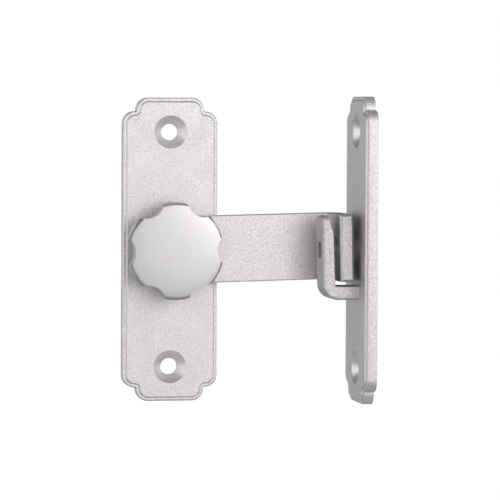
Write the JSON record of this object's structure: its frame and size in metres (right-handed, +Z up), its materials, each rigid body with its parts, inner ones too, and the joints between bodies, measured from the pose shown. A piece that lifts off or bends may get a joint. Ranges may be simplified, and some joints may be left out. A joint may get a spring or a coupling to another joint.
{
  "type": "right angle door latch",
  "caption": "Surface latch for a door that meets its frame at a right angle: a knob turns a bent arm into a hook on the keeper plate.",
  "frame": {"origin": "where the pivot axis meets the back face of the base plate, which is the surface of the door", "axes": "+Z up along the plates, +X from the pivot to the keeper plate, -Y out of the door toward the user"},
  "size_m": [0.0781, 0.0379, 0.1006],
  "materials": {
    "plate_steel": "fine blasted satin stainless steel",
    "arm_steel": "fine blasted satin stainless steel",
    "hook_steel": "fine blasted satin stainless steel",
    "knob_steel": "straight brushed stainless steel",
    "screw_steel": "turned steel",
    "spring_steel": "tempered spring steel",
    "bush_bronze": "turned bronze",
    "washer_nylon": "natural nylon"
  },
  "bodies": {
    "plates": {"base_plate": "plate_steel", "pivot_bush": "bush_bronze", "thrust_washer": "washer_nylon", "wave_washer": "spring_steel", "keeper_plate": "plate_steel", "keeper_hook": "hook_steel", "hook_screws": "screw_steel"},
    "arm": {"latch_arm": "arm_steel", "knob": "knob_steel", "spindle": "screw_steel", "retaining_washer": "screw_steel", "lock_washer": "spring_steel", "knob_screw": "screw_steel"}
  },
  "joints": [
    {"name": "arm_pivot", "type": "hinge", "parent": "plates", "child": "arm", "pos_m": [0, 0, 0], "axis": [0, -1, 0], "range_deg": [-1.5, 180]}
  ]
}
